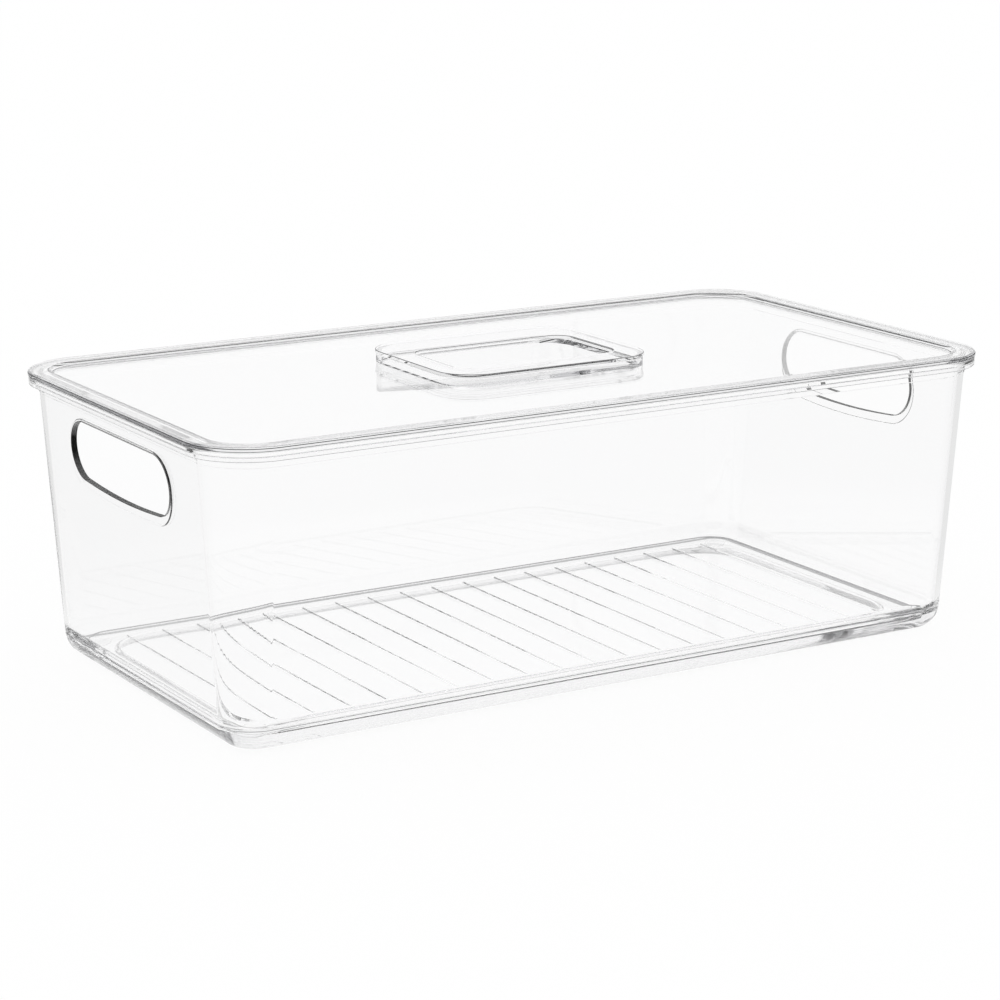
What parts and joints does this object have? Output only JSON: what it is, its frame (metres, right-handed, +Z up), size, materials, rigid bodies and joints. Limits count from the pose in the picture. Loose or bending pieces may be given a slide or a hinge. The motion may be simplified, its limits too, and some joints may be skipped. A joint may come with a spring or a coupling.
{
  "type": "storage bin with lid",
  "caption": "Clear rectangular storage bin with drafted walls, hand holds in its ends, a ribbed floor and a lift-off lid with a raised handle frame over a finger scoop.",
  "frame": {"origin": "on the ground, under the centre of the bin's plan", "axes": "+X along the length, +Y from the front to the deep side of the finger scoop, +Z up"},
  "size_m": [0.37, 0.197, 0.1273],
  "materials": {
    "clear_bin": "clear, polished",
    "clear_lid": "clear, polished",
    "clear_handle": "clear, polished",
    "clear_pad": "clear, satin"
  },
  "bodies": {
    "bin": {"bin_body": "clear_bin", "pad_front_left": "clear_pad", "pad_front_right": "clear_pad", "pad_back_left": "clear_pad", "pad_back_right": "clear_pad"},
    "lid": {"lid_panel": "clear_lid", "handle_frame": "clear_handle"}
  },
  "joints": [
    {"name": "lid_lift", "type": "slide", "parent": "bin", "child": "lid", "axis": [0, 0, 1], "range_m": [0, 0.1]}
  ]
}
